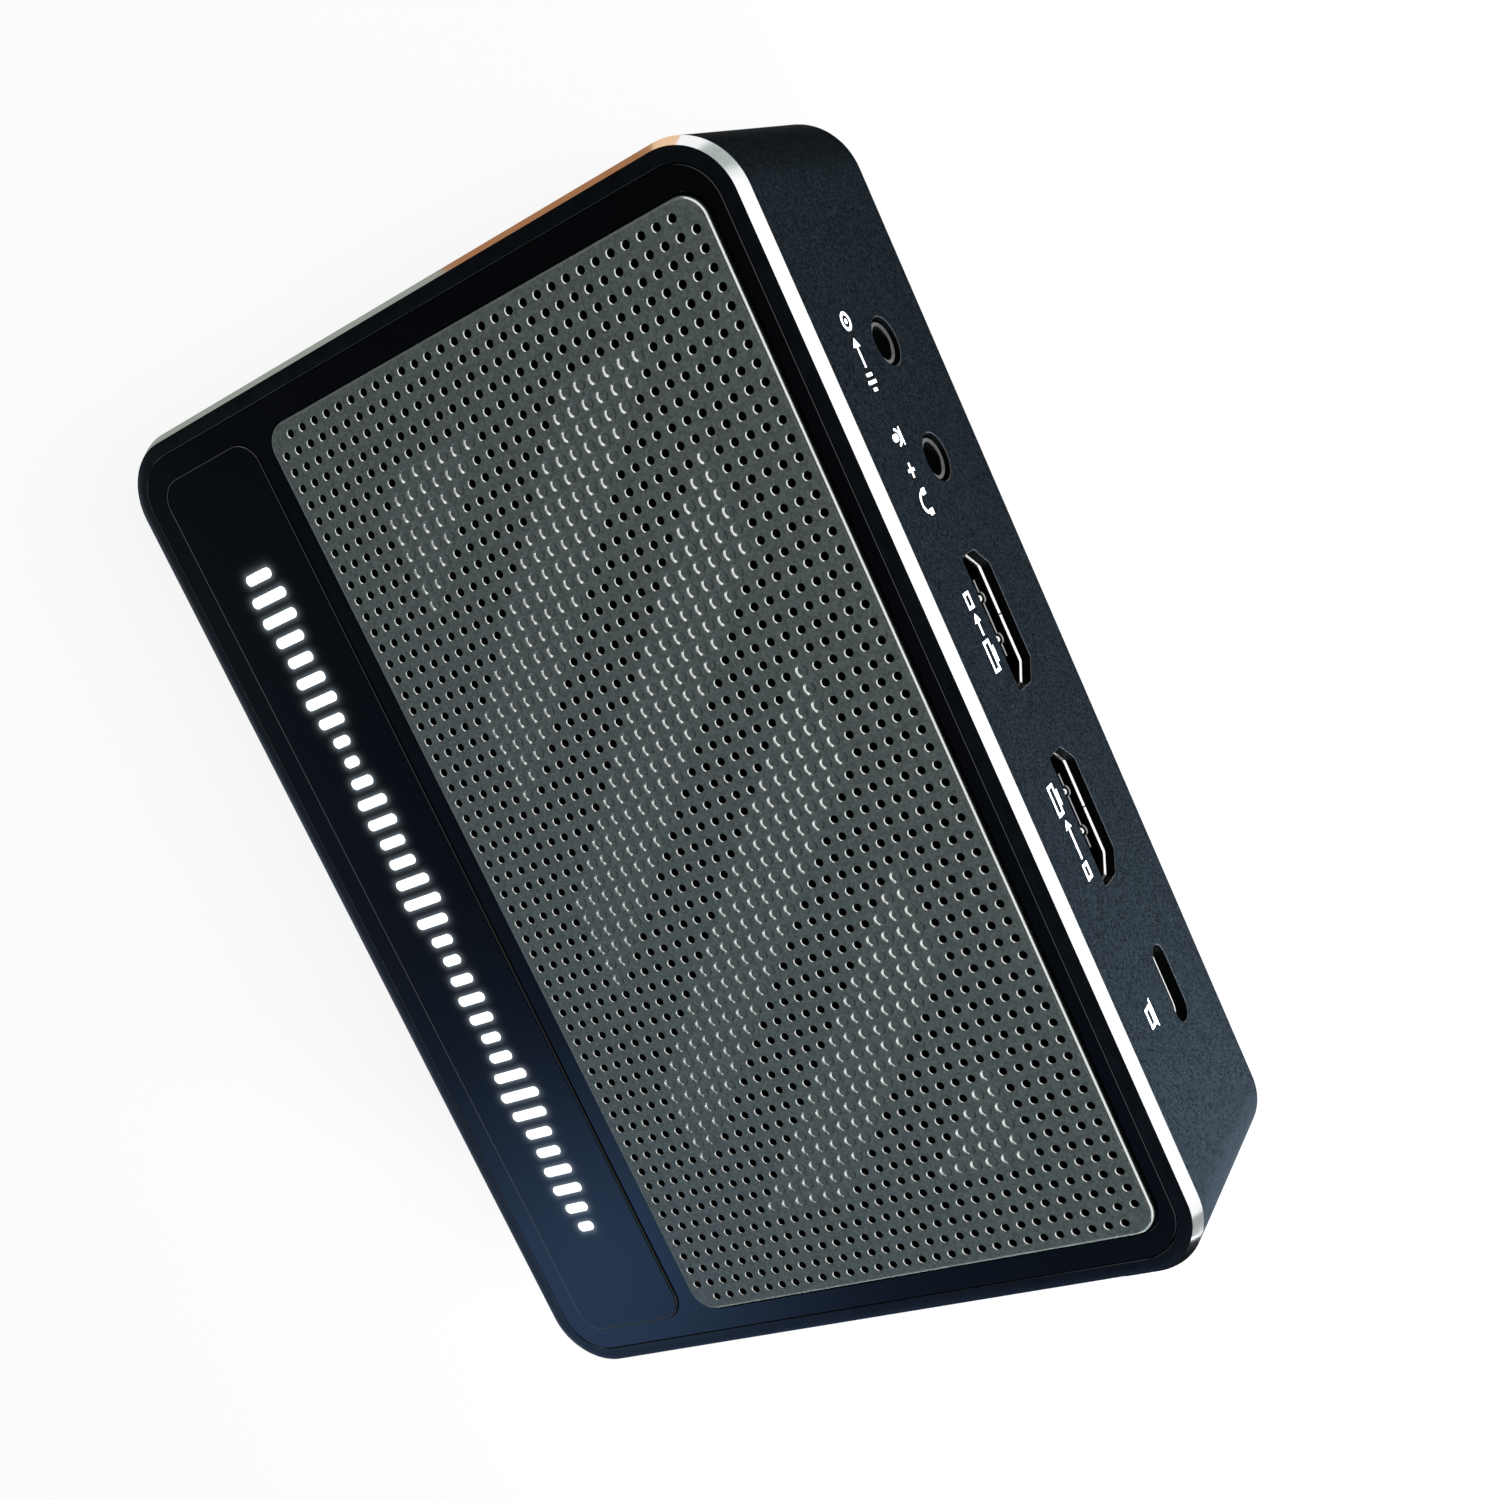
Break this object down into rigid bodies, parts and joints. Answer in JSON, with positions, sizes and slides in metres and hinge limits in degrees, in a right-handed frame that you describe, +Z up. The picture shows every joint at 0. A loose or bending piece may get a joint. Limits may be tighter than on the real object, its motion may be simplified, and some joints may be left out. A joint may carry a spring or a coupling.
{
  "type": "video capture box",
  "caption": "Flat black box with rounded corners, a perforated grille and a lit strip on top, and audio, video and data sockets along one long side.",
  "frame": {"origin": "middle of the box's plan, on the plane that the feet stand on", "axes": "+X along the long side, +Y out of the sockets, +Z up"},
  "size_m": [0.129, 0.0922, 0.0299],
  "materials": {
    "anodised_aluminium": "bead blasted and anodised black, with a bright cut chamfer",
    "gloss_black": "moulded, polished to a deep gloss",
    "gunmetal_grille": "perforated sheet, satin gunmetal",
    "smoked_acrylic": "polished smoked acrylic",
    "light_diffuser": "milky diffusing acrylic",
    "black_board": "solder mask",
    "led_body": "white moulding with a clear lens",
    "steel_screws": "zinc plated",
    "black_screws": "black oxide",
    "black_nylon": "moulded nylon",
    "gold_contacts": "gold flash on brass",
    "black_moulding": "fine moulded texture",
    "foot_rubber": "matt rubber",
    "green_board": "solder mask over glass cloth",
    "nickel_shell": "nickel plated sheet",
    "chip_epoxy": "moulded epoxy",
    "thermal_silicone": "soft silicone",
    "black_heat_sink": "anodised black",
    "crystal_can": "plated can",
    "ferrite": "pressed ferrite",
    "capacitor_can": "bright aluminium can",
    "ceramic": "fired ceramic"
  },
  "bodies": {
    "root": {"side_frame": "anodised_aluminium", "top_cover": "gloss_black", "grille": "gunmetal_grille", "indicator_window": "smoked_acrylic", "light_guide": "light_diffuser", "led_board": "black_board", "indicator_leds": "led_body", "led_screws": "steel_screws", "led_header": "black_nylon", "led_header_pins": "gold_contacts", "bottom_cover": "black_moulding", "rubber_feet": "foot_rubber", "case_screws": "black_screws", "main_board": "green_board", "board_screws": "steel_screws", "line_in_jack": "black_nylon", "line_in_contacts": "gold_contacts", "headset_jack": "black_nylon", "headset_contacts": "gold_contacts", "video_in_shell": "nickel_shell", "video_in_insulator": "black_nylon", "video_in_contacts": "gold_contacts", "video_out_shell": "nickel_shell", "video_out_insulator": "black_nylon", "video_out_contacts": "gold_contacts", "usb_shell": "nickel_shell", "usb_insulator": "black_nylon", "usb_contacts": "gold_contacts", "capture_chip": "chip_epoxy", "thermal_pad": "thermal_silicone", "heat_sink": "black_heat_sink", "memory_chips": "chip_epoxy", "input_receiver": "chip_epoxy", "output_driver": "chip_epoxy", "usb_bridge": "chip_epoxy", "audio_codec": "chip_epoxy", "flash_chip": "chip_epoxy", "crystals": "crystal_can", "inductors": "ferrite", "can_capacitors": "capacitor_can", "chip_capacitors": "ceramic"}
  },
  "joints": []
}
